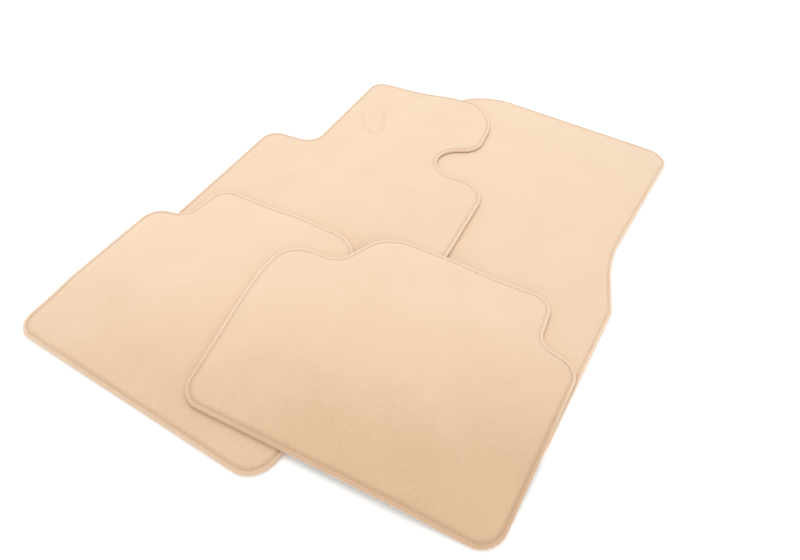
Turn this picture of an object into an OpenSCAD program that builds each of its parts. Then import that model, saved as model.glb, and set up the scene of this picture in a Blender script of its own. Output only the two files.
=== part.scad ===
// Set of four tufted velour floor mats for a left-hand-drive car, laid in a loose pile.
// The front passenger mat lies flat on the floor. The front driver mat lies partly on it, the rear left
// mat partly on the driver mat, and the rear right mat on all three. Each mat is flexible: it is raised
// by one lift for every mat beneath it and comes back down over a short run past that mat's edge.
// Z is up, the bottom face rests on z = 0, and the origin is the middle of the pile's footprint.
// A mat's own frame has x across it, y from its rear (heel) edge to its front (toe) edge, and z from its
// underside.

/* [Build-up of a mat] */
// Thickness of a whole mat
mat_t = 7; // [6:0.5:9]
// Thickness of the rubber backing, with the height of its nibs
backing_t = 2; // [1.6:0.1:2.6]
// Height of the nibs, which hold the edge binding clear of the floor
nib_h = 0.6; // [0.2:0.1:0.8]
// Thickness of the heavy layer between the pile carpet and the backing
heavy_t = 1.6; // [1:0.1:2.2]
// Thickness of the edge binding tape
tape_t = 0.8; // [0.5:0.1:1]
// Width of the binding over the pile
binding_w = 6; // [5:0.5:9]
// Width of the run of seam thread
thread_w = 0.8; // [0.5:0.1:1.2]
// Depth to which the seam thread is drawn into the tape
thread_d = 0.5; // [0.3:0.05:0.5]
// Distance from the run of thread to the inner edge of the binding
seam_margin = 0.8; // [0.8:0.1:2]

/* [Hook pads] */
// Diameter of a round hook-and-loop pad on the underside
pad_dia = 38; // [25:1:45]
// Thickness of a hook pad
pad_t = 1.4; // [1:0.1:1.5]
// Distance from a mat's corner to the middle of its pad
pad_setback = 88; // [75:1:120]

/* [Passenger mat] */
// Width at the toe edge
passenger_w = 498; // [430:2:560]
// Length from heel edge to toe edge, at the door side
passenger_len = 835; // [700:1:900]
// How far the tunnel side draws in at the heel edge
passenger_taper = 8; // [0:1:30]
// How far the toe edge falls back towards the tunnel side
toe_skew = 7; // [0:1:16]
// How far the door side leans out from its waist to the toe edge
door_side_lean = 15; // [0:1:20]
// How far the heel half reaches out towards the door from the waist
sill_flare = 37; // [20:1:60]
// How far the flare comes back in at the heel edge
sill_tuck = 5; // [0:1:20]
// Distance from the heel edge to where the flare is widest
flare_from = 299; // [200:1:330]
// Length over which the flare runs out to the waist
flare_run = 122; // [110:1:200]

/* [Driver mat] */
// Width across the tunnel corner
driver_w = 484; // [430:1:540]
// Length from heel edge to toe edge
driver_len = 785; // [760:1:880]
// How far the door side draws in at the heel edge
driver_door_taper = 12; // [0:1:30]
// How far the tunnel side draws in at the heel edge
driver_tunnel_taper = 28; // [0:1:45]
// Width taken off for the foot rest
footrest_w = 105; // [70:1:130]
// Length taken off for the foot rest
footrest_len = 322; // [240:1:380]
// Width taken off along the pedals
pedal_strip_w = 55; // [35:1:65]
// Distance from the heel edge to the near side of the pedal cut-out
cutout_from = 469; // [420:1:480]
// Length of the pedal cut-out at its inner end
cutout_len = 86; // [76:1:110]
// How much further from the heel edge the cut-out's far side is at its mouth
cutout_slant = 30; // [0:1:36]
// Depth of the pedal cut-out from the tunnel corner
cutout_d = 122; // [105:1:150]
// How far the toe edge is cut back at its tunnel corner, across the mat
toe_cut_w = 57; // [30:1:65]
// How far the toe edge is cut back at its tunnel corner, along the mat
toe_cut_len = 74; // [60:1:110]

/* [Rear mats] */
// Width across the shoulders
rear_w = 485; // [430:1:560]
// Length from rear edge to front edge
rear_len = 393; // [350:1:460]
// How far the tunnel side draws in at the rear edge
tunnel_lean = 31; // [20:1:70]
// How far the door side draws in at the rear edge
door_lean = 35; // [10:1:50]
// How far the rear edge runs forward by its door end
rear_skew = 6; // [0:1:15]
// Width of the seat-rail step on the tunnel side
tunnel_step_w = 94; // [70:1:120]
// Length of the seat-rail step on the tunnel side
tunnel_step_len = 98; // [70:1:120]
// How far the tunnel step slants towards the front edge
tunnel_step_slant = 42; // [20:1:70]
// Length of straight side below the tunnel shoulder
tunnel_straight = 75; // [50:1:95]
// Width of the seat-rail step on the door side
door_step_w = 63; // [40:1:80]
// Length of the seat-rail step on the door side
door_step_len = 109; // [80:1:130]
// How far the door shoulder falls away towards the side
door_shoulder_fall = 17; // [0:1:34]

/* [Corner radii] */
// Corners of every heel edge and rear edge
heel_r = 36; // [20:1:40]
// Corners of the foot-rest step, the door-side step and the tunnel step's inner corner
step_r = 33; // [15:1:40]
// Toe corners of the driver mat
toe_r = 35; // [25:1:45]
// Tunnel-side front corner of a rear mat
front_r = 68; // [35:1:80]
// Door-side toe corner of the passenger mat
door_toe_r = 48; // [20:1:60]
// Large tunnel-side toe corner of the passenger mat
tunnel_toe_r = 118; // [60:1:120]
// Widest point of the sill flare
flare_r = 45; // [40:1:100]
// Waist of the passenger mat
waist_r = 300; // [100:5:320]
// Inner corners of the pedal cut-out
cutout_r = 51; // [30:1:56]
// Corners at the mouth of the pedal cut-out
mouth_r = 55; // [25:1:60]
// Bend in the driver mat's side past the pedals
pedal_side_r = 145; // [40:1:160]
// Inner corner of a rear mat's door-side step
door_step_r = 26; // [8:1:30]
// Tunnel-side shoulder of a rear mat
shoulder_r = 49; // [30:1:55]
// Bend in a rear mat's tunnel side
tunnel_side_r = 48; // [40:1:120]

/* [Pile] */
// Gap between one mat and the next
lay_gap = 0.3; // [0.2:0.05:0.5]
// Run over which a mat comes down by one lift
drape_run = 70; // [50:5:100]
// Place of the passenger mat's heel corner across the pile
passenger_x = -266.5; // [-300:1:-230]
// Place of the passenger mat's heel corner along the pile
passenger_y = 501.5; // [480:1:550]
// Clockwise turn of the passenger mat, in degrees
passenger_turn = 28.5; // [25:0.1:33]
// Place of the driver mat's heel corner across the pile
driver_x = -452; // [-480:1:-420]
// Place of the driver mat's heel corner along the pile
driver_y = 506.5; // [470:1:530]
// Clockwise turn of the driver mat, in degrees
driver_turn = 18.1; // [14:0.1:21]
// Place of the rear left mat's rear edge across the pile
rear_left_x = -334.5; // [-350:1:-300]
// Place of the rear left mat's rear edge along the pile
rear_left_y = 291.5; // [260:1:310]
// Clockwise turn of the rear left mat, in degrees
rear_left_turn = 24.2; // [20:0.1:26]
// Place of the rear right mat's rear edge across the pile
rear_right_x = -66.5; // [-90:1:-45]
// Place of the rear right mat's rear edge along the pile
rear_right_y = 222; // [200:1:245]
// Clockwise turn of the rear right mat, in degrees
rear_right_turn = 21.1; // [18:0.1:25]

/* [Hidden] */

// Degrees of turn between two points of a rounded corner
arc_step = 9;
// Lift that one mat gives to whatever lies on it
lift = mat_t + lay_gap;
// Slope at which a mat comes down past the edge of one beneath it
drape_slope = atan(lift / drape_run);
// Half the size of a block that is larger than the whole pile
block = 1500;
// Straight side that is always left between two rounded corners
min_straight = 1;
// Height of the upper face of the heavy layer
pile_z = backing_t + heavy_t;
// Height of the cutting columns, from under the pile to over it
column_z0 = -1;
column_z1 = 5 * lift;
// Inset of the outer side of the seam thread from a mat's edge
thread_in = binding_w - seam_margin - thread_w;

// ---- Outlines: corners as [x, y, radius], anticlockwise ----
passenger_waist_x = passenger_w - door_side_lean;
passenger_corners = [
    [passenger_taper, 0, heel_r],
    [passenger_waist_x + sill_flare - sill_tuck, 0, heel_r],
    [passenger_waist_x + sill_flare, flare_from, flare_r],
    [passenger_waist_x, flare_from + flare_run, waist_r],
    [passenger_w, passenger_len, door_toe_r],
    [0, passenger_len - toe_skew, tunnel_toe_r]
];
cutout_x = driver_w - cutout_d;
pedal_x = driver_w - pedal_strip_w;
cutout_to = cutout_from + cutout_len;
driver_corners = [
    [driver_door_taper, 0, heel_r],
    [driver_w - driver_tunnel_taper, 0, heel_r],
    [driver_w, cutout_from, mouth_r],
    [cutout_x, cutout_from, cutout_r],
    [cutout_x, cutout_to, cutout_r],
    [pedal_x, cutout_to + cutout_slant, mouth_r],
    [pedal_x, driver_len - toe_cut_len, pedal_side_r],
    [pedal_x - toe_cut_w, driver_len, toe_r],
    [footrest_w, driver_len, toe_r],
    [footrest_w, driver_len - footrest_len, step_r],
    [0, driver_len - footrest_len, step_r]
];
tunnel_x = -rear_w / 2;
door_x = rear_w / 2;
door_step_x = door_x - door_step_w;
door_step_y = rear_len - door_step_len;
tunnel_step_x = tunnel_x + tunnel_step_w;
tunnel_step_y = rear_len - tunnel_step_len;
rear_right_corners = [
    [tunnel_x + tunnel_lean, 0, heel_r],
    [door_x - door_lean, rear_skew, heel_r],
    [door_x, door_step_y, step_r],
    [door_step_x, door_step_y + door_shoulder_fall, door_step_r],
    [door_step_x, rear_len, step_r],
    [tunnel_step_x + tunnel_step_slant, rear_len, front_r],
    [tunnel_step_x, tunnel_step_y, step_r],
    [tunnel_x, tunnel_step_y, shoulder_r],
    [tunnel_x, tunnel_step_y - tunnel_straight, tunnel_side_r]
];
// The rear left mat is the mirror image, its corners listed the other way round
rear_left_corners = [
    for (i = [1:len(rear_right_corners)])
        let (c = rear_right_corners[len(rear_right_corners) - i])
        [-c[0], c[1], c[2]]
];

// Unit vector along v
function unit(v) = v / norm(v);

// Corner i of an outline, counted round it, without its radius
function corner(corners, i) =
    let (c = corners[(i + len(corners)) % len(corners)])
    [c[0], c[1]];

// Half the angle inside corner i
function half_angle(corners, i) =
    let (b = corner(corners, i))
    acos(unit(corner(corners, i - 1) - b) * unit(corner(corners, i + 1) - b)) / 2;

// Length of side that the rounding of corner i takes up
function rounding(corners, i) =
    corners[(i + len(corners)) % len(corners)][2] / tan(half_angle(corners, i));

// Share of its rounding that the side after corner i has room for, at both its ends
function side_room(corners, i) =
    let (side = norm(corner(corners, i + 1) - corner(corners, i)))
    min(1, (side - min_straight) / (rounding(corners, i) + rounding(corners, i + 1)));

// Points of the arc that rounds corner i, on the outline moved in by inset
function corner_arc(corners, i, inset) =
    let (
        b = corner(corners, i),
        to_a = unit(corner(corners, i - 1) - b),
        to_c = unit(corner(corners, i + 1) - b),
        half = half_angle(corners, i),
        turn = sign(to_c[0] * to_a[1] - to_c[1] * to_a[0]),
        radius = corners[i][2] * min(side_room(corners, i - 1), side_room(corners, i)),
        centre = b + unit(to_a + to_c) * radius / sin(half),
        first = b + to_a * radius / tan(half) - centre,
        start = atan2(first[1], first[0]),
        sweep = turn * (180 - 2 * half),
        steps = max(2, ceil(abs(sweep) / arc_step)),
        reach = radius - turn * inset
    )
    [
        for (i = [0:steps])
            let (angle = start + sweep * i / steps)
            centre + reach * [cos(angle), sin(angle)]
    ];

// Rounded outline through the corners, moved in by inset
function outline(corners, inset) = [
    for (i = [0:len(corners) - 1])
        each corner_arc(corners, i, inset)
];

// ---- Mats: [corners, x, y, turn, corners that carry a hook pad] ----
passenger = [passenger_corners, passenger_x, passenger_y, passenger_turn, [0, 1, 4, 5]];
driver = [driver_corners, driver_x, driver_y, driver_turn, [0, 1, 7, 8]];
rear_left = [rear_left_corners, rear_left_x, rear_left_y, rear_left_turn, [8, 7, 4, 3]];
rear_right = [rear_right_corners, rear_right_x, rear_right_y, rear_right_turn, [0, 1, 4, 5]];

// Point p of a mat's own frame, in the frame that the four mats are laid out in
function laid(mat, p) = [
    mat[1] + p[0] * cos(mat[3]) + p[1] * sin(mat[3]),
    mat[2] - p[0] * sin(mat[3]) + p[1] * cos(mat[3])
];

// Middle of the pile's footprint, which becomes the origin
all_points = [
    for (mat = [passenger, driver, rear_left, rear_right])
        for (p = outline(mat[0], 0))
            laid(mat, p)
];
xs = [for (p = all_points) p[0]];
ys = [for (p = all_points) p[1]];
middle = [(min(xs) + max(xs)) / 2, (min(ys) + max(ys)) / 2];

// Point p of a mat's own frame, in the frame of the whole pile
function placed(mat, p) = laid(mat, p) - middle;

// ---- Drape: straight edges that hold up the mats above them, each with its mat on the left ----
function mat_edge(mat, i, j) = [placed(mat, mat[0][i]), placed(mat, mat[0][j])];
passenger_edges = [mat_edge(passenger, 5, 0), mat_edge(passenger, 0, 1)];
driver_heel_edges = [mat_edge(driver, 10, 0), mat_edge(driver, 0, 1)];
driver_tunnel_edges = [mat_edge(driver, 0, 1), mat_edge(driver, 1, 2)];
rear_left_edges = [
    mat_edge(rear_left, 7, 8), mat_edge(rear_left, 8, 0), mat_edge(rear_left, 0, 1),
    mat_edge(rear_left, 1, 3)
];

// Plateaus under each mat that is raised: [number of mats beneath, edges past which it comes down]
driver_rests = [[1, passenger_edges]];
rear_left_rests = [
    [1, driver_heel_edges],
    [2, concat(passenger_edges, driver_heel_edges)]
];
rear_right_rests = [
    [1, passenger_edges],
    [1, driver_tunnel_edges],
    [1, rear_left_edges],
    [2, concat(passenger_edges, driver_tunnel_edges)],
    [2, concat(driver_tunnel_edges, rear_left_edges)],
    [3, concat(passenger_edges, driver_tunnel_edges, rear_left_edges)]
];

// Everything under height z
module under_level(z) {
    translate([-block, -block, z - 2 * block])
        cube(2 * block);
}

// Everything under a plane that passes height z at an edge and rises towards its mat
module under_slope(edge, z) {
    run = edge[1] - edge[0];
    translate([edge[0][0], edge[0][1], z])
        rotate([0, 0, atan2(run[1], run[0])])
            rotate([drape_slope, 0, 0])
                translate([-block, -block, -2 * block])
                    cube(2 * block);
}

// One plateau with its slopes
module under_plateau(rest, z) {
    top = z + rest[0] * lift;
    intersection() {
        under_level(top);
        intersection_for (edge = rest[1])
            under_slope(edge, top);
    }
}

// Everything under a mat's draped surface, z above its underside
module under_drape(rests, z) {
    union() {
        under_level(z);
        for (rest = rests)
            under_plateau(rest, z);
    }
}

// Upright column on a mat's outline, moved in by inset
module column(mat, inset, z0, z1) {
    at = placed(mat, [0, 0]);
    translate([at[0], at[1], z0])
        rotate([0, 0, -mat[3]])
            linear_extrude(z1 - z0)
                polygon(outline(mat[0], inset));
}

// Sheet between two heights above a mat's underside, draped over the mats beneath
module sheet(mat, rests, inset, z0, z1) {
    if (len(rests) == 0)
        column(mat, inset, z0, z1);
    else
        difference() {
            intersection() {
                column(mat, inset, column_z0, column_z1);
                under_drape(rests, z1);
            }
            under_drape(rests, z0);
        }
}

// Middle of the hook pad at corner i, set back into the mat
function pad_place(corners, i) =
    let (b = corner(corners, i))
    b + unit(unit(corner(corners, i - 1) - b) + unit(corner(corners, i + 1) - b)) * pad_setback;

// Columns that the hook pads of a mat are cut from
module pad_columns(mat) {
    for (i = mat[4]) {
        at = placed(mat, pad_place(mat[0], i));
        translate([at[0], at[1], column_z0])
            cylinder(h = column_z1, d = pad_dia, $fn = 48);
    }
}

// Pile carpet: full height inside the binding, pressed down under it
module pile_carpet(mat, rests) {
    color([0.93, 0.83, 0.71])
        union() {
            sheet(mat, rests, binding_w, pile_z, mat_t);
            sheet(mat, rests, tape_t, pile_z, mat_t - tape_t);
        }
}

// Heavy layer between the pile carpet and the backing
module heavy_layer(mat, rests) {
    color([0.35, 0.33, 0.31])
        sheet(mat, rests, tape_t, backing_t, pile_z);
}

// Rubber backing: stands on the floor inside the binding, with pockets for the hook pads
module grip_backing(mat, rests) {
    color([0.16, 0.16, 0.17])
        difference() {
            union() {
                sheet(mat, rests, binding_w, 0, backing_t);
                sheet(mat, rests, tape_t, nib_h + tape_t, backing_t);
            }
            intersection() {
                pad_columns(mat);
                sheet(mat, rests, binding_w, 0, pad_t);
            }
        }
}

// Edge binding tape, folded round the edge from top to bottom
module edge_binding(mat, rests) {
    color([0.86, 0.74, 0.60])
        difference() {
            sheet(mat, rests, 0, nib_h, mat_t);
            column(mat, binding_w, column_z0, column_z1);
            sheet(mat, rests, tape_t, nib_h + tape_t, mat_t - tape_t);
            binding_thread_run(mat, rests);
        }
}

// Run of seam thread round the top of the binding
module binding_thread_run(mat, rests) {
    difference() {
        sheet(mat, rests, thread_in, mat_t - thread_d, mat_t);
        column(mat, thread_in + thread_w, column_z0, column_z1);
    }
}

// Seam thread that holds the binding
module binding_thread(mat, rests) {
    color([0.80, 0.66, 0.51])
        binding_thread_run(mat, rests);
}

// Hook-and-loop pads, level with the underside of the backing
module hook_pads(mat, rests) {
    color([0.10, 0.10, 0.11])
        intersection() {
            pad_columns(mat);
            sheet(mat, rests, binding_w, 0, pad_t);
        }
}

pile_carpet(passenger, []);  // passenger_pile_carpet
heavy_layer(passenger, []);  // passenger_heavy_layer
grip_backing(passenger, []);  // passenger_grip_backing
edge_binding(passenger, []);  // passenger_edge_binding
binding_thread(passenger, []);  // passenger_binding_thread
hook_pads(passenger, []);  // passenger_hook_pads
pile_carpet(driver, driver_rests);  // driver_pile_carpet
heavy_layer(driver, driver_rests);  // driver_heavy_layer
grip_backing(driver, driver_rests);  // driver_grip_backing
edge_binding(driver, driver_rests);  // driver_edge_binding
binding_thread(driver, driver_rests);  // driver_binding_thread
hook_pads(driver, driver_rests);  // driver_hook_pads
pile_carpet(rear_left, rear_left_rests);  // rear_left_pile_carpet
heavy_layer(rear_left, rear_left_rests);  // rear_left_heavy_layer
grip_backing(rear_left, rear_left_rests);  // rear_left_grip_backing
edge_binding(rear_left, rear_left_rests);  // rear_left_edge_binding
binding_thread(rear_left, rear_left_rests);  // rear_left_binding_thread
hook_pads(rear_left, rear_left_rests);  // rear_left_hook_pads
pile_carpet(rear_right, rear_right_rests);  // rear_right_pile_carpet
heavy_layer(rear_right, rear_right_rests);  // rear_right_heavy_layer
grip_backing(rear_right, rear_right_rests);  // rear_right_grip_backing
edge_binding(rear_right, rear_right_rests);  // rear_right_edge_binding
binding_thread(rear_right, rear_right_rests);  // rear_right_binding_thread
hook_pads(rear_right, rear_right_rests);  // rear_right_hook_pads
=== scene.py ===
import math

import bmesh
import bpy
import numpy as np
from mathutils import Matrix, Vector, noise
from mathutils.geometry import delaunay_2d_cdt


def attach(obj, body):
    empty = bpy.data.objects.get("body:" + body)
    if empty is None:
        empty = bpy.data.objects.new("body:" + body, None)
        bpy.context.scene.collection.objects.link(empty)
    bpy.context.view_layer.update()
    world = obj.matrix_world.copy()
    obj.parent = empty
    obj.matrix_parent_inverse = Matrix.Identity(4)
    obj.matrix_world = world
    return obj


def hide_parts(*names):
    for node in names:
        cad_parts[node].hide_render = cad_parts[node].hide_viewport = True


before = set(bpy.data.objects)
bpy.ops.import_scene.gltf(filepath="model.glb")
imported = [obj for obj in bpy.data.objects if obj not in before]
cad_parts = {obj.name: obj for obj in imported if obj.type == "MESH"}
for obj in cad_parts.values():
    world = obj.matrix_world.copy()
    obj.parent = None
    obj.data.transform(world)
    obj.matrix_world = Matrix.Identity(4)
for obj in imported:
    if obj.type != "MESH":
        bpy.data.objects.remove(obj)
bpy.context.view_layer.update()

MM = 0.001
FAR = 1e3                # beyond every part of the pile

# ---- Build-up of a mat, heights above its underside ----
MAT_T = 7.0
NIB_H = 0.6
PAD_DIA = 38.0
PAD_T = 1.4
PAD_SETBACK = 88.0       # of a pad's middle from its corner
SEAM_IN = 4.8            # inset of the line of stitches
EDGE_IN = 1.0            # inset of the layers that the tape is folded round

# ---- Drape over the mats beneath ----
LIFT = 7.3               # for each mat beneath
RUN = 70.0               # run over which a mat comes down by one lift
EASE = 12.0              # half the length of the bend at the top of that run
SETTLE = 2.0             # height over which the foot of the run is rounded off
MOST_BENEATH = 3

# ---- Corners of the outlines, anticlockwise, as x, y and radius ----
PASSENGER = dict(
    name="passenger", body="passenger_mat", at=(-266.5, 501.5), turn=28.5, pads=(0, 1, 4, 5),
    flat=(0.520, 0.835), corners=(
        (8, 0, 36), (515, 0, 36), (520, 299, 45), (483, 421, 300), (498, 835, 48), (0, 828, 118)))
DRIVER = dict(
    name="driver", body="driver_mat", at=(-452, 506.5), turn=18.1, pads=(0, 1, 7, 8),
    flat=(0.484, 0.785), corners=(
        (12, 0, 36), (456, 0, 36), (484, 469, 55), (362, 469, 51), (362, 555, 51), (429, 585, 55),
        (429, 711, 145), (372, 785, 35), (105, 785, 35), (105, 463, 33), (0, 463, 33)))
REAR_CORNERS = (
    (-211.5, 0, 36), (207.5, 6, 36), (242.5, 284, 33), (179.5, 301, 26), (179.5, 393, 33),
    (-106.5, 393, 68), (-148.5, 295, 33), (-242.5, 295, 49), (-242.5, 220, 48))
REAR_RIGHT = dict(
    name="rear_right", body="rear_right_mat", at=(-66.5, 222), turn=21.1, pads=(0, 1, 4, 5),
    flat=(0.485, 0.393), corners=REAR_CORNERS)
REAR_LEFT = dict(
    name="rear_left", body="rear_left_mat", at=(-334.5, 291.5), turn=24.2, pads=(8, 7, 4, 3),
    flat=(0.485, 0.393), corners=tuple((-x, y, r) for x, y, r in reversed(REAR_CORNERS)))
MATS = (PASSENGER, DRIVER, REAR_LEFT, REAR_RIGHT)
MIDDLE = np.array((18.3921, 686.244))    # middle of the laid-out pile, which is the frame's origin
LEAST_STRAIGHT = 1.0                     # straight side that is left between two rounded corners


def placed(mat, points):
    """Points of a mat's own frame, in the frame of the pile."""
    turn = math.radians(mat["turn"])
    c, s = math.cos(turn), math.sin(turn)
    points = np.asarray(points, float)
    x, y = points[..., 0], points[..., 1]
    return np.stack((c * x + s * y, c * y - s * x), -1) + np.array(mat["at"]) - MIDDLE


def edge(mat, i, j):
    """Straight bearing edge from corner i to corner j: a point on it and the normal into its mat."""
    a, b = placed(mat, [mat["corners"][k][:2] for k in (i, j)])
    run = (b - a) / np.linalg.norm(b - a)
    return a, np.array((-run[1], run[0]))


P_EDGES = [edge(PASSENGER, 5, 0), edge(PASSENGER, 0, 1)]
D_HEEL_EDGES = [edge(DRIVER, 10, 0), edge(DRIVER, 0, 1)]
D_TUNNEL_EDGES = [edge(DRIVER, 0, 1), edge(DRIVER, 1, 2)]
R_EDGES = [edge(REAR_LEFT, 7, 8), edge(REAR_LEFT, 8, 0), edge(REAR_LEFT, 0, 1), edge(REAR_LEFT, 1, 3)]
# Under each raised mat: how many mats lie beneath, and the edges past which it comes down
PASSENGER["rests"] = []
DRIVER["rests"] = [(1, P_EDGES)]
REAR_LEFT["rests"] = [(1, D_HEEL_EDGES), (2, P_EDGES + D_HEEL_EDGES)]
REAR_RIGHT["rests"] = [
    (1, P_EDGES), (1, D_TUNNEL_EDGES), (1, R_EDGES), (2, P_EDGES + D_TUNNEL_EDGES),
    (2, D_TUNNEL_EDGES + R_EDGES), (3, P_EDGES + D_TUNNEL_EDGES + R_EDGES)]


def come_down(past):
    """How far a sheet has come down, this far past a bearing edge: a rounded bend, then a straight run."""
    slope = LIFT / RUN
    past = np.maximum(past, 0.0)
    return np.where(past < 2 * EASE, slope * past**2 / (4 * EASE), slope * (past - EASE))


def drape(mat, points):
    """Height of a mat's underside at points of the pile's frame."""
    height = np.zeros(len(points))
    for count in range(1, MOST_BENEATH + 1):
        level = np.full(len(points), -FAR)
        for n, edges in mat["rests"]:
            if n == count:
                past = np.max([(a - points) @ inward for a, inward in edges], axis=0)
                level = np.maximum(level, count * LIFT - come_down(past))
        near = np.maximum(SETTLE - np.abs(height - level), 0.0)
        height = np.maximum(height, level) + near**2 / (4 * SETTLE)
    return height


def stations(mat, pitch):
    """Even steps round a mat's outline: points, outward normals, distance along, and bend (1 / radius)."""
    corners = np.array(mat["corners"], float)
    n = len(corners)
    sides = np.roll(corners[:, :2], -1, axis=0) - corners[:, :2]
    lengths = np.linalg.norm(sides, axis=1)
    sides /= lengths[:, None]
    halves = np.arccos(-np.sum(np.roll(sides, 1, axis=0) * sides, axis=1)) / 2
    taken = corners[:, 2] / np.tan(halves)               # side that each corner's rounding takes up
    room = np.minimum(1.0, (lengths - LEAST_STRAIGHT) / (taken + np.roll(taken, -1)))
    radii = corners[:, 2] * np.minimum(room, np.roll(room, 1))
    pieces = []                                          # arcs, each followed by its straight side
    for i in range(n):
        b, r, half, to_a, to_c = corners[i, :2], radii[i], halves[i], -sides[i - 1], sides[i]
        turn = math.copysign(1.0, to_c[0] * to_a[1] - to_c[1] * to_a[0])
        mid = to_a + to_c
        centre = b + mid / np.linalg.norm(mid) * r / math.sin(half)
        first = b + to_a * r / math.tan(half) - centre
        pieces.append((centre, r, math.atan2(first[1], first[0]), turn * (math.pi - 2 * half), turn))
    ends = [c + r * np.array((math.cos(a), math.sin(a))) for c, r, a, _, _ in pieces]
    outs = [c + r * np.array((math.cos(a + sweep), math.sin(a + sweep))) for c, r, a, sweep, _ in pieces]
    spans = []
    for i, (_, r, _, sweep, _) in enumerate(pieces):
        spans += [r * abs(sweep), np.linalg.norm(ends[(i + 1) % n] - outs[i])]
    marks = np.concatenate(((0.0,), np.cumsum(spans)))
    count = 2 * round(marks[-1] / pitch / 2)
    along = np.arange(count) * marks[-1] / count
    points, normals, bend = np.zeros((count, 2)), np.zeros((count, 2)), np.zeros(count)
    for k, u in enumerate(along):
        s = int(np.searchsorted(marks, u, side="right")) - 1
        i, t = s // 2, (u - marks[s]) / spans[s]
        c, r, a, sweep, turn = pieces[i]
        if s % 2 == 0:
            out = np.array((math.cos(a + sweep * t), math.sin(a + sweep * t)))
            points[k], normals[k], bend[k] = c + r * out, out * turn, turn / r
        else:
            run = ends[(i + 1) % n] - outs[i]
            points[k] = outs[i] + run * t
            normals[k] = np.array((run[1], -run[0])) / np.linalg.norm(run)
    return points, normals, along, bend


def inside(loop, points):
    """True for each point inside a closed loop."""
    result = np.zeros(len(points), bool)
    a, b = loop, np.roll(loop, -1, axis=0)
    for (ax, ay), (bx, by) in zip(a, b):
        crosses = (ay > points[:, 1]) != (by > points[:, 1])
        rise = by - ay if by != ay else 1.0
        result ^= crosses & (points[:, 0] < ax + (points[:, 1] - ay) * (bx - ax) / rise)
    return result


ROW_STEP = 0.866         # of the pitch, between rows, so that the points make even triangles


def spread_points(loop, pitch, keep_off, centres=(), clear=0.0):
    """Offset rows of points that fill a loop, clear of its edge and of any centres."""
    low, high = loop.min(axis=0), loop.max(axis=0)
    rows = []
    for j, y in enumerate(np.arange(low[1], high[1], pitch * ROW_STEP)):
        xs = np.arange(low[0] + (j % 2) * pitch / 2, high[0], pitch)
        rows.append(np.stack((xs, np.full(len(xs), y)), -1))
    points = np.concatenate(rows)
    points = points[inside(loop, points)]
    gap = np.min(np.linalg.norm(points[:, None] - loop[None], axis=2), axis=1)
    points = points[gap > keep_off]
    for centre in centres:
        points = points[np.linalg.norm(points - centre, axis=1) > clear]
    return points


INSIDE_ONLY = 1          # keeps only the triangles inside the loop
TOUCHING = 1e-7          # points this close count as one


def fill(loop, extra):
    """Triangles over a closed loop and the points inside it, as indexes into both, one after the other."""
    n = len(loop)
    _, _, faces, source, _, _ = delaunay_2d_cdt(
        [Vector(p) for p in np.concatenate((loop, extra))], [(i, (i + 1) % n) for i in range(n)],
        [list(range(n))], INSIDE_ONLY, TOUCHING)
    back = [s[0] for s in source]
    return [[back[i] for i in face] for face in faces]


def make_piece(name, mat, node, points, faces, material):
    """A piece from points of the pile's frame in millimetres, riding on its mat and standing for its node."""
    mesh = bpy.data.meshes.new(name)
    mesh.from_pydata((np.asarray(points) * MM).tolist(), [], faces)
    shape = bmesh.new()
    shape.from_mesh(mesh)
    bmesh.ops.recalc_face_normals(shape, faces=shape.faces)
    shape.to_mesh(mesh)
    shape.free()
    mesh.polygons.foreach_set("use_smooth", [True] * len(mesh.polygons))
    mesh.materials.append(material)
    piece = bpy.data.objects.new(name, mesh)
    bpy.context.scene.collection.objects.link(piece)
    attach(piece, mat["body"])
    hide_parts(f"{mat['name']}_{node}")
    return piece


def on_mat(mat, own, z):
    """Points of a mat's own frame with heights above its underside, laid and draped."""
    flat = placed(mat, own)
    return np.column_stack((flat, np.asarray(z) + drape(mat, flat)))


EDGE_GAP = 0.7           # of the grain, from a sheet's last row to the points inside it


def layer_points(mat, rows, pitch, grain, extra=None):
    """Closed sheet: rows of (inset, height) from its top, round its edge, to its underside, with both
    faces filled in by points a grain apart, or by the points that extra gives."""
    points, normals, _, _ = stations(mat, pitch)
    n = len(points)
    rings = [points - normals * inset for inset, _ in rows]
    heights = [np.full(n, z) for _, z in rows]
    loop = rings[0]
    inner = spread_points(loop, grain, grain * EDGE_GAP) if extra is None else extra(loop)
    triangles = fill(loop, inner)
    top_z, bottom_z = rows[0][1], rows[-1][1]
    own = np.concatenate(rings + [inner, inner])
    z = np.concatenate(heights + [np.full(len(inner), top_z), np.full(len(inner), bottom_z)])
    faces = []
    for k in range(len(rows) - 1):
        for i in range(n):
            j = (i + 1) % n
            faces.append((k * n + i, k * n + j, (k + 1) * n + j, (k + 1) * n + i))
    base, last = len(rows) * n, (len(rows) - 1) * n
    for tri in triangles:
        faces.append([i if i < n else base + i - n for i in tri])
        faces.append([last + i if i < n else base + len(inner) + i - n for i in reversed(tri)])
    return own, z, faces


# ---- Finishes ----
def linear(colour):
    """Linear colour of an sRGB hex value."""
    parts = [int(colour[i:i + 2], 16) / 255 for i in (1, 3, 5)]
    return tuple(p / 12.92 if p <= 0.04045 else ((p + 0.055) / 1.055) ** 2.4 for p in parts) + (1.0,)


def add(tree, kind, inputs=None, stops=(), **settings):
    """Add a node, make its settings, link or set its inputs, and lay out its (place, hex colour) stops."""
    node = tree.nodes.new(kind)
    for key, value in settings.items():
        setattr(node, key, value)
    for key, value in (inputs or {}).items():
        if isinstance(value, bpy.types.NodeSocket):
            tree.links.new(value, node.inputs[key])
        else:
            node.inputs[key].default_value = value
    for k, (place, colour) in enumerate(stops):
        points = node.color_ramp.elements
        point = points[k] if k < len(points) else points.new(place)
        point.position, point.color = place, linear(colour)
    return node


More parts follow.
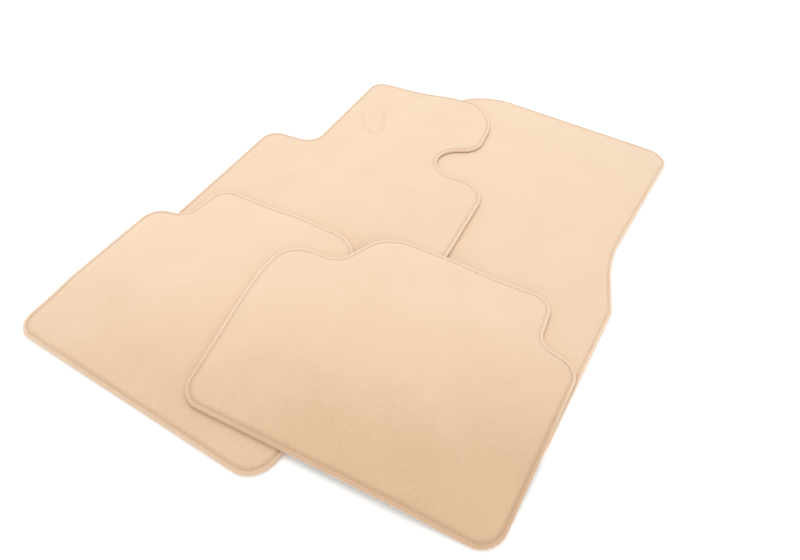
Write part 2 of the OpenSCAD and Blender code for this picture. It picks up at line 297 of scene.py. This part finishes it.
def start(name, **surface):
    """A material with one shader, whose uniform values are set on its own sockets."""
    material = bpy.data.materials.new(name)
    material.use_nodes = True
    tree = material.node_tree
    shader = tree.nodes["Principled BSDF"]
    for key, value in surface.items():
        shader.inputs[key.replace("_", " ")].default_value = value
    return material, tree, shader


# Sizes of the patterns, in millimetres, and how far those of the pile and the tape move their shade
NAP_PATCH, PATCH_SHADE = 90.9, 0.20      # patches where the nap lies one way
TUFT_CLUMP, CLUMP_SHADE = 4.76, 0.18     # clumps of tufts
TUFT_TIP, TIP_SHADE = 1.613, 0.14        # cut tips of the tufts, about as far apart as the real ones
TAPE_RIB, CROSS_RIB, RIB_SHADE = 1.2, 0.9, 0.14      # twice as coarse as the real ribs, so that they show
TAPE_WEAR, WEAR_SHADE = 16.67, 0.10      # patches where the tape's edge is rubbed
PLY = 1.0                                # lay of the thread's plies
FILLER_GRAIN = 2.0                       # coarser than the real filler, so that it shows
GRANULE, GRANULE_FACE = 2.222, 1.111     # rubber granules, and the roughness of their faces
HOOK_GROUND = 1.429                      # ground weave of the hook tape, coarser than the real one
ROLLER_STIPPLE = 8.333                   # stipple that a roller leaves, coarser than the real one
BANDS = 0.314                            # bands of a wave texture are this over its scale apart


def sheared_velour():
    """Solution-dyed nylon velour, tufted and sheared: matt, with a soft sheen at glancing angles. Its nap
    lies this way and that, which gives lighter and darker patches, and its cut tips give a fine mottle."""
    material, tree, shader = start(
        "sheared_nylon_velour", Roughness=0.95, IOR=1.53, Specular_IOR_Level=0.12, Sheen_Weight=0.74,
        Sheen_Roughness=0.7, Sheen_Tint=linear("#FFF4E8"))
    place = add(tree, "ShaderNodeTexCoord").outputs["Object"]
    # The shade attribute gives each mat's tone and brushed marks, with painted shade: a falloff of light
    # towards the rear and a darker groove beside the tape
    shade = add(tree, "ShaderNodeAttribute", attribute_name="shade").outputs["Fac"]
    for size, share, detail, roughness, distortion in (
            (NAP_PATCH, PATCH_SHADE, 2.0, 0.5, 0.4), (TUFT_CLUMP, CLUMP_SHADE, 3.0, 0.6, 0.0),
            (TUFT_TIP, TIP_SHADE, 2.0, 0.7, 0.0)):
        pattern = add(tree, "ShaderNodeTexNoise", {
            "Vector": place, "Scale": 1 / (size * MM), "Detail": detail, "Roughness": roughness,
            "Distortion": distortion}).outputs["Fac"]
        shade = add(tree, "ShaderNodeMath", {0: pattern, 1: share, 2: shade}, operation="MULTIPLY_ADD")
        shade = shade.outputs[0]
    colour = add(tree, "ShaderNodeValToRGB", {"Fac": shade}, stops=(
        (0.35, "#B3926F"), (0.47, "#BD9B78"), (0.67, "#CAAB8A"), (0.79, "#CEB090"), (0.95, "#D4B99A")))
    tree.links.new(colour.outputs["Color"], shader.inputs["Base Color"])
    # Only the cut tips, the last of these patterns, stand up from the surface
    bump = add(tree, "ShaderNodeBump", {"Height": pattern, "Strength": 0.35, "Distance": 0.6 * MM})
    tree.links.new(bump.outputs["Normal"], shader.inputs["Normal"])
    return material


def woven_tape():
    """Woven polyester binding tape, folded and heat-set: fine ribs across it, smoother than the pile."""
    material, tree, shader = start(
        "woven_polyester_tape", Roughness=0.75, IOR=1.57, Specular_IOR_Level=0.25, Sheen_Weight=0.6,
        Sheen_Roughness=0.7, Sheen_Tint=linear("#FFF4E8"))
    along = add(tree, "ShaderNodeUVMap", uv_map="weave").outputs["UV"]
    place = add(tree, "ShaderNodeTexCoord").outputs["Object"]
    ribs = add(tree, "ShaderNodeTexWave", {
        "Vector": along, "Scale": BANDS / (TAPE_RIB * MM), "Distortion": 0.6, "Detail": 1.0,
        "Detail Scale": 2.0}, bands_direction="X")
    cross = add(tree, "ShaderNodeTexWave", {"Vector": along, "Scale": BANDS / (CROSS_RIB * MM)},
                bands_direction="Y")
    weave = add(tree, "ShaderNodeMath", {0: ribs.outputs["Fac"], 1: cross.outputs["Fac"]},
                operation="MULTIPLY")
    wear = add(tree, "ShaderNodeTexNoise", {"Vector": place, "Scale": 1 / (TAPE_WEAR * MM), "Detail": 3.0})
    # The shade attribute gives the tape its mat's tone with the same painted falloff of light as the pile
    shade = add(tree, "ShaderNodeAttribute", attribute_name="shade").outputs["Fac"]
    for pattern, share in ((wear.outputs["Fac"], WEAR_SHADE), (weave.outputs[0], RIB_SHADE)):
        shade = add(tree, "ShaderNodeMath", {0: pattern, 1: share, 2: shade}, operation="MULTIPLY_ADD")
        shade = shade.outputs[0]
    colour = add(tree, "ShaderNodeValToRGB", {"Fac": shade}, stops=(
        (0.22, "#B08C69"), (0.31, "#B89673"), (0.50, "#D2B497"), (0.75, "#DABEA3")))
    tree.links.new(colour.outputs["Color"], shader.inputs["Base Color"])
    bump = add(tree, "ShaderNodeBump", {
        "Height": weave.outputs[0], "Strength": 0.5, "Distance": 0.2 * MM})
    tree.links.new(bump.outputs["Normal"], shader.inputs["Normal"])
    return material


def bonded_thread():
    """Bonded polyester thread of three twisted plies: a little glossy, a shade darker than the tape."""
    material, tree, shader = start(
        "bonded_polyester_thread", Roughness=0.5, IOR=1.57, Specular_IOR_Level=0.4, Sheen_Weight=0.1)
    along = add(tree, "ShaderNodeUVMap", uv_map="twist").outputs["UV"]
    plies = add(tree, "ShaderNodeTexWave", {"Vector": along, "Scale": BANDS / (PLY * MM)},
                bands_direction="DIAGONAL")
    colour = add(tree, "ShaderNodeValToRGB", {"Fac": plies.outputs["Fac"]}, stops=(
        (0.0, "#A37B5A"), (0.5, "#B38B69"), (1.0, "#C09977")))
    tree.links.new(colour.outputs["Color"], shader.inputs["Base Color"])
    bump = add(tree, "ShaderNodeBump", {
        "Height": plies.outputs["Fac"], "Strength": 0.6, "Distance": 0.1 * MM})
    tree.links.new(bump.outputs["Normal"], shader.inputs["Normal"])
    return material


def extruded_heavy_layer():
    """Filled EVA heavy layer, extruded and rolled on: dull, dark and slightly grainy."""
    material, tree, shader = start("extruded_filled_eva", Roughness=0.85, IOR=1.48, Specular_IOR_Level=0.3)
    place = add(tree, "ShaderNodeTexCoord").outputs["Object"]
    grain = add(tree, "ShaderNodeTexNoise", {
        "Vector": place, "Scale": 1 / (FILLER_GRAIN * MM), "Detail": 3.0})
    colour = add(tree, "ShaderNodeValToRGB", {"Fac": grain.outputs["Fac"]}, stops=(
        (0.3, "#3B3733"), (0.7, "#57514B")))
    tree.links.new(colour.outputs["Color"], shader.inputs["Base Color"])
    bump = add(tree, "ShaderNodeBump", {
        "Height": grain.outputs["Fac"], "Strength": 0.3, "Distance": 0.2 * MM})
    tree.links.new(bump.outputs["Normal"], shader.inputs["Normal"])
    return material


def pressed_granulate():
    """Rubber granulate pressed to a nibbed sheet: near-black, matt, with a fleck where the grains show."""
    material, tree, shader = start(
        "pressed_rubber_granulate", Roughness=0.82, IOR=1.52, Specular_IOR_Level=0.35)
    place = add(tree, "ShaderNodeTexCoord").outputs["Object"]
    grains = add(tree, "ShaderNodeTexVoronoi", {"Vector": place, "Scale": 1 / (GRANULE * MM)})
    fine = add(tree, "ShaderNodeTexNoise", {
        "Vector": place, "Scale": 1 / (GRANULE_FACE * MM), "Detail": 2.0})
    split = add(tree, "ShaderNodeSeparateColor", {"Color": grains.outputs["Color"]})
    colour = add(tree, "ShaderNodeValToRGB", {"Fac": split.outputs[0]}, stops=(
        (0.0, "#1C1C1D"), (0.55, "#262627"), (0.9, "#303032"), (1.0, "#4A4A4C")))
    tree.links.new(colour.outputs["Color"], shader.inputs["Base Color"])
    height = add(tree, "ShaderNodeMath", {0: grains.outputs["Distance"], 1: fine.outputs["Fac"]},
                 operation="ADD")
    bump = add(tree, "ShaderNodeBump", {
        "Height": height.outputs[0], "Strength": 0.5, "Distance": 0.4 * MM})
    tree.links.new(bump.outputs["Normal"], shader.inputs["Normal"])
    return material


def woven_hook_tape():
    """Woven nylon hook tape, its cut loops stiff and slightly glossy, on a matt ground."""
    material, tree, shader = start(
        "woven_nylon_hook_tape", Roughness=0.5, IOR=1.53, Specular_IOR_Level=0.45)
    place = add(tree, "ShaderNodeTexCoord").outputs["Object"]
    grain = add(tree, "ShaderNodeTexNoise", {
        "Vector": place, "Scale": 1 / (HOOK_GROUND * MM), "Detail": 2.0})
    colour = add(tree, "ShaderNodeValToRGB", {"Fac": grain.outputs["Fac"]}, stops=(
        (0.3, "#121214"), (0.7, "#26262A")))
    tree.links.new(colour.outputs["Color"], shader.inputs["Base Color"])
    bump = add(tree, "ShaderNodeBump", {
        "Height": grain.outputs["Fac"], "Strength": 0.4, "Distance": 0.15 * MM})
    tree.links.new(bump.outputs["Normal"], shader.inputs["Normal"])
    return material


def painted_floor():
    """White studio floor, rolled with matt emulsion: a faint stipple."""
    material, tree, shader = start("rolled_white_emulsion", Roughness=0.9, IOR=1.5, Specular_IOR_Level=0.1)
    place = add(tree, "ShaderNodeTexCoord").outputs["Object"]
    stipple = add(tree, "ShaderNodeTexNoise", {
        "Vector": place, "Scale": 1 / (ROLLER_STIPPLE * MM), "Detail": 2.0})
    colour = add(tree, "ShaderNodeValToRGB", {"Fac": stipple.outputs["Fac"]}, stops=(
        (0.3, "#FCFCFC"), (0.7, "#FEFEFE")))
    tree.links.new(colour.outputs["Color"], shader.inputs["Base Color"])
    return material


VELOUR, TAPE, THREAD = sheared_velour(), woven_tape(), bonded_thread()
HEAVY, RUBBER, HOOKS = extruded_heavy_layer(), pressed_granulate(), woven_hook_tape()

# ---- Velour pile ----
# Rows of (inset, height): the crown beside the binding, the roll-off into it, the part pressed under the
# tape, the cut edge, and the underside
PILE_ROWS = (
    (22.0, 7.0), (17.0, 7.02), (14.0, 7.02), (12.0, 6.95), (10.4, 6.76), (9.0, 6.48), (7.8, 6.14),
    (6.8, 5.78), (6.0, 5.4), (5.2, 5.15), (4.6, 5.05), (3.4, 5.6), (2.1, 5.7), (1.3, 5.1), (EDGE_IN, 4.2),
    (EDGE_IN, 3.62), (22.0, 3.62))
PILE_PITCH = 5.0
PILE_GRAIN = 6.0
CROWN_Z = 6.9            # only the pile above this height is uneven
WAVE_SIZE = 45.0         # of the pile's slight unevenness
WAVE_HEIGHT = 0.08
WAVE_SLICE = 3.0         # which slice of the noise it is taken from
# Base shade of each mat, from dark to light: its nap's own tone, with painted light that makes some mats
# lighter than others. Painted falloff of light, changing the shade towards the rear of the pile: (from y, to
# y, change of shade)
NAP_TONE_AND_LIGHT = dict(passenger=0.48, driver=0.42, rear_left=0.52, rear_right=0.54)
PAINTED_FALLOFF = dict(passenger=(0, -400, 0.0), driver=(400, 0, 0.03), rear_left=(-200, -360, -0.20),
                rear_right=(-200, -430, -0.31))
# Where the nap has been brushed the other way: strokes in the frame of the pile, (points, half width, shade)
NAP_MARKS = dict(
    passenger=(),
    driver=((((-143, 368), (-132, 315), (-110, 281), (-92, 289), (-87, 333), (-94, 387)), 5.0, -0.12),
            (((-12, 78), (-10, 80)), 4.0, -0.10), (((-52, 168), (-50, 170)), 3.5, -0.10)),
    rear_left=(),
    rear_right=((((-5, -138), (-1, -178)), 9.0, -0.08), (((-97, -187), (-90, -189)), 8.0, -0.07)))
GROOVE_SHADE = -0.18          # painted shade in the groove beside the binding, where the tufts are pressed over
GROOVE_SHADE_DEPTH = 1.4        # below the crown, where the tufts are pressed over fully and the painted groove shade is full


def nap_and_painted_shade(mat, points, z):
    """Shade at points of the pile's frame: the nap's own tone, changed where it is brushed, with painted
    shade where the light falls off and in the groove where it is pressed.
    """
    first, last, falloff = PAINTED_FALLOFF[mat["name"]]
    # Painted falloff of light: the shade changes towards the rear of the pile
    values = NAP_TONE_AND_LIGHT[mat["name"]] + falloff * np.clip((points[:, 1] - first) / (last - first), 0, 1)
    for stroke, half_width, shade in NAP_MARKS[mat["name"]]:
        nearest = np.full(len(points), FAR)
        for a, b in zip(np.array(stroke[:-1], float), np.array(stroke[1:], float)):
            share = np.clip((points - a) @ (b - a) / ((b - a) @ (b - a)), 0, 1)
            nearest = np.minimum(nearest, np.linalg.norm(points - a - share[:, None] * (b - a), axis=1))
        values += shade * np.exp(-(nearest / half_width) ** 2)
    # Painted shade in the groove where the binding presses the tufts over
    return values + GROOVE_SHADE * np.clip((MAT_T - z) / GROOVE_SHADE_DEPTH, 0, 1)


def add_shade(piece, values):
    """Give each point of a piece its shade, which its material reads."""
    layer = piece.data.attributes.new("shade", "FLOAT", "POINT")
    layer.data.foreach_set("value", values.astype(np.float32))


def lay_pile(mat):
    """The velour pile: a crown that rolls off into the groove beside the tape."""
    own, z, faces = layer_points(mat, PILE_ROWS, PILE_PITCH, PILE_GRAIN)
    points = on_mat(mat, own, z)
    wave = np.array([noise.noise(Vector((x / WAVE_SIZE, y / WAVE_SIZE, WAVE_SLICE))) for x, y, _ in points])
    points[:, 2] += np.where(z > CROWN_Z, WAVE_HEIGHT * wave, 0.0)
    piece = make_piece(f"{mat['name']}_velour_pile", mat, "pile_carpet",
                       points, faces, VELOUR)
    add_shade(piece, nap_and_painted_shade(mat, points[:, :2], z))
    return piece


# ---- Edge binding ----
# Outer face of the folded tape, from its inner edge on the underside, round the mat's edge, to its inner
# edge on the pile: (inset, height, how much it is drawn in by the stitches, how much it gathers)
TAPE_ROWS = (
    (6.1, 0.82, 0.2, 0.3), (5.5, 0.66, 0.5, 0.2), (4.8, 0.84, 1.0, 0.0), (3.9, 0.66, 0.5, 0.0),
    (2.5, 0.66, 0.1, 0.0), (1.3, 0.95, 0.0, 0.0), (0.5, 1.65, 0.0, 0.0), (0.1, 2.6, 0.0, 0.0),
    (0.0, 3.6, 0.0, 0.0), (0.1, 4.7, 0.0, 0.0), (0.5, 5.7, 0.0, 0.1), (1.2, 6.5, 0.0, 0.3),
    (2.1, 6.88, 0.1, 0.6), (3.0, 6.85, 0.3, 1.0), (3.9, 6.5, 0.8, 1.0), (4.8, 6.02, 1.0, 0.8),
    (5.4, 6.0, 0.6, 0.6), (5.9, 5.9, 0.2, 0.3), (6.15, 5.65, 0.0, 0.0))
TAPE_T = 0.7
STITCH_PITCH = 4.0
STITCH_DRAW = 0.12       # how far the tape is drawn in at a stitch and bulges between stitches
GATHER = 0.16            # height of the gathers where the tape goes round a corner
GATHER_PITCH = 6.0
GATHER_RADIUS = 30.0     # corners of this radius or less are gathered fully


def section(rows):
    """Closed section of a tape: its outer face and, one thickness in, its inner face."""
    outer = np.array([r[:2] for r in rows])
    step = np.gradient(outer, axis=0)
    step /= np.linalg.norm(step, axis=1)[:, None]
    inner = outer + np.stack((step[:, 1], -step[:, 0]), -1) * TAPE_T
    pull = np.array([r[2:] for r in rows])
    return np.concatenate((outer, inner[::-1])), np.concatenate((pull, pull[::-1]))


def lay_binding(mat):
    """The folded tape round a mat's edge, drawn in at each stitch and gathered at the corners."""
    profile, pull = section(TAPE_ROWS)
    edge_points, normals, along, bend = stations(mat, STITCH_PITCH / 2)
    n, m = len(edge_points), len(profile)
    own = (edge_points[:, None] - normals[:, None] * profile[None, :, :1]).reshape(-1, 2)
    draw = np.where(np.arange(n) % 2 == 0, -STITCH_DRAW, STITCH_DRAW)
    gather = GATHER * np.clip(bend * GATHER_RADIUS, 0, 1) * np.sin(2 * np.pi * along / GATHER_PITCH)
    side = np.where(profile[:, 1] > MAT_T / 2, 1.0, -1.0)
    z = (profile[None, :, 1] + draw[:, None] * pull[None, :, 0] * side
         + gather[:, None] * pull[None, :, 1] * side)
    faces = []
    for i in range(n):
        j = (i + 1) % n
        for k in range(m):
            q = (k + 1) % m
            faces.append((i * m + k, j * m + k, j * m + q, i * m + q))
    points = on_mat(mat, own, z.ravel())
    piece = make_piece(f"{mat['name']}_binding_tape", mat, "edge_binding",
                       points, faces, TAPE)
    # The tape takes its mat's tone and painted falloff of light; at the pile's full height no groove shade is
    # added
    add_shade(piece, nap_and_painted_shade(mat, points[:, :2], MAT_T))
    pitch = along[1]
    around = np.concatenate(((0.0,), np.cumsum(np.linalg.norm(np.diff(profile, axis=0), axis=1))))
    uv = piece.data.uv_layers.new(name="weave")
    coords = np.zeros((len(piece.data.loops), 2), np.float32)
    for poly in piece.data.polygons:
        ids = [piece.data.loops[q].vertex_index for q in poly.loop_indices]
        rows, cols = [v // m for v in ids], [v % m for v in ids]
        wraps, turns = max(rows) - min(rows) > 1, max(cols) - min(cols) > 1
        for q, r, c in zip(poly.loop_indices, rows, cols):
            u = n if wraps and r == 0 else r
            coords[q] = u * pitch * MM, (around[-1] + TAPE_T if turns and c == 0 else around[c]) * MM
    uv.data.foreach_set("uv", coords.ravel())
    return piece


# ---- Stitches ----
THREAD_R = 0.36
THREAD_SIDES = 6
STITCH_L = 3.3
STITCH_SLANT = 0.10
STITCH_DIP = 0.4         # how far a stitch's ends dip into the tape
STITCH_LEVELS = ((6.14, 1.0), (0.72, -1.0))      # pile side and underside: (height, which way is out)
# Along a stitch, from -1 to 1: (place, radius share, height share)
STITCH_ROWS = (
    (-0.96, 0.75, -1.0), (-0.6, 1.0, -0.15), (0.0, 1.0, 0.25), (0.6, 1.0, -0.15), (0.96, 0.75, -1.0))


def lay_stitches(mat):
    """Single stitches in the tape's groove, on the pile side and on the underside."""
    points, normals, _, _ = stations(mat, STITCH_PITCH)
    sides, rings = THREAD_SIDES, len(STITCH_ROWS)
    verts, faces = [], []
    for level, up in STITCH_LEVELS:
        for k in range(len(points)):
            out = normals[k]
            run = np.array((-out[1], out[0])) + out * STITCH_SLANT
            run /= np.linalg.norm(run)
            across = np.array((run[1], -run[0]))
            centre = points[k] - out * SEAM_IN
            first = len(verts)
            for place, share, height in STITCH_ROWS:
                for s in range(sides):
                    angle = 2 * math.pi * s / sides
                    p = centre + run * place * STITCH_L / 2 + across * math.cos(angle) * THREAD_R * share
                    z = level + up * height * STITCH_DIP + math.sin(angle) * THREAD_R * share
                    verts.append((p[0], p[1], z))
            for r in range(rings - 1):
                for s in range(sides):
                    t = (s + 1) % sides
                    faces.append((first + r * sides + s, first + r * sides + t,
                                  first + (r + 1) * sides + t, first + (r + 1) * sides + s))
            faces.append([first + s for s in reversed(range(sides))])
            faces.append([first + (rings - 1) * sides + s for s in range(sides)])
    verts = np.array(verts)
    piece = make_piece(f"{mat['name']}_seam_stitches", mat, "binding_thread",
                       on_mat(mat, verts[:, :2], verts[:, 2]), faces, THREAD)
    uv = piece.data.uv_layers.new(name="twist")
    ids = np.zeros(len(piece.data.loops), np.int32)
    piece.data.loops.foreach_get("vertex_index", ids)
    u = ids % (sides * rings) // sides * STITCH_L / (rings - 1) * MM
    v = np.abs(ids % sides - sides / 2) * THREAD_R * MM
    uv.data.foreach_set("uv", np.stack((u, v), -1).astype(np.float32).ravel())
    return piece


# ---- Heavy layer ----
# Rows of (inset, height), from its upper face round its edge to its underside
HEAVY_ROWS = ((22.0, 3.6), (EDGE_IN, 3.6), (EDGE_IN, 2.02), (22.0, 2.02))
UNDER_PITCH = 8.0        # along the edge, for the layers under the pile
HEAVY_GRAIN = 12.0


def lay_heavy_layer(mat):
    """The heavy layer between the pile and the backing."""
    own, z, faces = layer_points(mat, HEAVY_ROWS, UNDER_PITCH, HEAVY_GRAIN)
    return make_piece(f"{mat['name']}_heavy_sheet", mat, "heavy_layer",
                      on_mat(mat, own, z), faces, HEAVY)


# ---- Grip backing ----
# Rows of (inset, height), from its upper face, round its edge and past the tape, to its nibbed face
BACKING_ROWS = ((22.0, 2.0), (EDGE_IN, 2.0), (EDGE_IN, 1.5), (6.45, 1.45), (6.7, 0.62), (22.0, NIB_H))
BACKING_GRAIN = 10.0
BACKING_GAP = 7.0        # from its last row to the points inside it
POCKET_SIDES = 48
POCKET_WALL = (0.35, 0.05)       # foot and top of a pocket's wall, outside the pad's radius
POCKET_CLEAR = 2.5       # from the pad's radius to the other points of the sheet
POCKET_REACH = 0.2       # past the pad's radius, within which the sheet is at the pocket's depth
POCKET_Z = 1.0           # below this height a point belongs to the sheet's underside
NIB_PITCH = 11.0
NIB_SIDES = 6
NIB_INSET = 10.0         # of the nibbed area from the mat's edge
NIB_GAP = 3.0            # of the nibs' middles from the edge of that area
NIB_CLEAR = 4.0          # of the nibs from a pad
# From a nib's root in the sheet to its tip: (radius, height)
NIB_ROWS = ((2.3, 0.8), (2.2, 0.45), (1.6, 0.1))


def pad_places(mat):
    """Middles of a mat's hook pads, in its own frame."""
    corners = np.array(mat["corners"], float)[:, :2]
    result = []
    for i in mat["pads"]:
        to_a, to_c = corners[i - 1] - corners[i], corners[(i + 1) % len(corners)] - corners[i]
        mid = to_a / np.linalg.norm(to_a) + to_c / np.linalg.norm(to_c)
        result.append(corners[i] + mid / np.linalg.norm(mid) * PAD_SETBACK)
    return result


def unit_circle(sides):
    """Even points round a circle of radius 1."""
    turn = np.linspace(0, 2 * math.pi, sides, endpoint=False)
    return np.stack((np.cos(turn), np.sin(turn)), -1)


def lay_backing(mat):
    """The rubber backing, with a pocket for each hook pad and a grid of nibs between them."""
    pads, pad_r = pad_places(mat), PAD_DIA / 2
    circle, hexagon = unit_circle(POCKET_SIDES), unit_circle(NIB_SIDES)

    def with_pockets(loop):
        parts = [spread_points(loop, BACKING_GRAIN, BACKING_GAP, pads, pad_r + POCKET_CLEAR)]
        for pad in pads:
            parts += [pad + circle * (pad_r + out) for out in POCKET_WALL]
            parts += [pad + circle[::4] * pad_r / 2, pad[None]]
        return np.concatenate(parts)

    own, z, faces = layer_points(mat, BACKING_ROWS, UNDER_PITCH, BACKING_GRAIN, with_pockets)
    for pad in pads:
        in_pocket = np.linalg.norm(own - pad, axis=1) < pad_r + POCKET_REACH
        z = np.where(in_pocket & (z < POCKET_Z), PAD_T, z)
    points, normals, _, _ = stations(mat, UNDER_PITCH)
    tips = spread_points(points - normals * NIB_INSET, NIB_PITCH, NIB_GAP, pads, pad_r + NIB_CLEAR)
    nib_own = np.concatenate([tips[:, None] + hexagon * r for r, _ in NIB_ROWS] + [tips[:, None]], axis=1)
    nib_z = np.concatenate([np.full(NIB_SIDES, h) for _, h in NIB_ROWS] + [np.zeros(1)])
    per, base = len(nib_z), len(own)
    own = np.concatenate((own, nib_own.reshape(-1, 2)))
    z = np.concatenate((z, np.tile(nib_z, len(tips))))
    for k in range(len(tips)):
        first = base + k * per
        for r in range(len(NIB_ROWS) - 1):
            for s in range(NIB_SIDES):
                t = (s + 1) % NIB_SIDES
                a = first + r * NIB_SIDES
                faces.append((a + s, a + t, a + NIB_SIDES + t, a + NIB_SIDES + s))
        top = first + (len(NIB_ROWS) - 1) * NIB_SIDES
        for s in range(NIB_SIDES):
            faces.append((top + s, top + (s + 1) % NIB_SIDES, first + per - 1))
        faces.append([first + s for s in reversed(range(NIB_SIDES))])
    return make_piece(f"{mat['name']}_nibbed_backing", mat, "grip_backing",
                      on_mat(mat, own, z), faces, RUBBER)


# ---- Hook pads ----
# From the middle of the pad's face in its pocket, round its rim: (radius, height)
PAD_ROWS = ((17.6, 1.38), (18.7, 1.38), (18.9, 1.2), (18.9, 0.7), (18.6, 0.5), (18.0, 0.42), (17.0, 0.42))
PAD_SIDES = 36
HOOK_PITCH = 2.6
HOOK_GAP = 0.7           # from the rim of the pad's face
HOOK_SIDES = 5
# From a hook's root to its head: (radius, height)
HOOK_ROWS = ((0.32, 0.6), (0.26, 0.25), (0.62, 0.16), (0.45, 0.0))


def lay_hook_pads(mat):
    """A mat's round pads of hook tape, each in its pocket and covered in hooks."""
    circle, small = unit_circle(PAD_SIDES), unit_circle(HOOK_SIDES)
    own, z, faces = [], [], []

    def revolve(centre, ring, rows):
        first, m = len(own), len(ring)
        for r, h in rows:
            own.extend(centre + ring * r)
            z.extend([h] * m)
        for k in range(len(rows) - 1):
            for s in range(m):
                t = (s + 1) % m
                faces.append((first + k * m + s, first + k * m + t,
                              first + (k + 1) * m + t, first + (k + 1) * m + s))
        faces.append([first + s for s in reversed(range(m))])
        faces.append([first + (len(rows) - 1) * m + s for s in range(m)])

    for pad in pad_places(mat):
        revolve(pad, circle, PAD_ROWS)
        for spot in spread_points(pad + circle * PAD_ROWS[0][0], HOOK_PITCH, HOOK_GAP):
            revolve(spot, small, HOOK_ROWS)
    return make_piece(f"{mat['name']}_hook_tape_pads", mat, "hook_pads",
                      on_mat(mat, own, z), faces, HOOKS)


AREA_PITCH = 2.0         # steps round the outline, fine enough for its rounded corners


def cut_area(mat):
    """Flat area of a mat inside its outline, in square metres."""
    p = stations(mat, AREA_PITCH)[0]
    q = np.roll(p, -1, axis=0)
    return abs(float((p[:, 0] * q[:, 1] - q[:, 0] * p[:, 1]).sum())) / 2 * MM * MM


# ---- Floor, light and camera ----
HALF_FLOOR = 20.0                # metres
ROOM_LIGHT = 1.03                # strength of the light from all round
TILT = math.radians(46.65)       # of the camera, down from level
ROLL = math.radians(5.58)
SENSOR_W, FOCAL = 36.0, 22.356   # millimetres
CAMERA_Z = 0.580                 # metres above the floor

floor_corners = [(x * HALF_FLOOR, y * HALF_FLOOR, 0) for x, y in ((-1, -1), (1, -1), (1, 1), (-1, 1))]
floor_mesh = bpy.data.meshes.new("studio_floor")
floor_mesh.from_pydata(floor_corners, [], [(0, 1, 2, 3)])
floor_mesh.materials.append(painted_floor())
studio_floor = bpy.data.objects.new("studio_floor", floor_mesh)
bpy.context.scene.collection.objects.link(studio_floor)

scene = bpy.context.scene
world = bpy.data.worlds.new("soft_white_room")
world.use_nodes = True
sky = world.node_tree.nodes["Background"]
sky.inputs["Color"].default_value = linear("#FBFDFF")
sky.inputs["Strength"].default_value = ROOM_LIGHT
scene.world = world
scene.view_settings.view_transform = "Standard"


def softbox(name, at, aim, size, watts, colour):
    """Rectangular softbox, turned to face aim."""
    lamp = bpy.data.lights.new(name, "AREA")
    lamp.shape = "RECTANGLE"
    lamp.size, lamp.size_y = size
    lamp.energy = watts
    lamp.color = linear(colour)[:3]
    box = bpy.data.objects.new(name, lamp)
    box.location = at
    box.rotation_euler = (Vector(aim) - Vector(at)).to_track_quat("-Z", "Y").to_euler()
    scene.collection.objects.link(box)


softbox("overhead_softbox", at=(-0.25, 0.35, 1.25), aim=(-0.05, 0.2, 0.0), size=(1.3, 0.9),
        watts=8.3, colour="#FFFFFF")
softbox("front_softbox", at=(0.5, -1.8, 0.8), aim=(0.0, 0.0, 0.0), size=(2.4, 0.9),
        watts=8.5, colour="#FFF8EE")

across, ahead = Vector((1, 0, 0)), Vector((0, math.cos(TILT), -math.sin(TILT)))
above = across.cross(ahead)
lens = bpy.data.cameras.new("camera")
lens.sensor_width, lens.lens = SENSOR_W, FOCAL
camera = bpy.data.objects.new("camera", lens)
right = math.cos(ROLL) * across + math.sin(ROLL) * above
up = math.cos(ROLL) * above - math.sin(ROLL) * across
turned = Matrix((right, up, -ahead)).transposed().to_4x4()
camera.matrix_world = Matrix.Translation((-MIDDLE[0] * MM, -MIDDLE[1] * MM, CAMERA_Z)) @ turned
scene.collection.objects.link(camera)
scene.camera = camera

# ---- The four mats, from the bottom of the pile up ----
for mat in MATS:
    pile = lay_pile(mat)
    layers = [lay_binding(mat), lay_stitches(mat), lay_heavy_layer(mat), lay_backing(mat), lay_hook_pads(mat)]
    cut_area(mat)
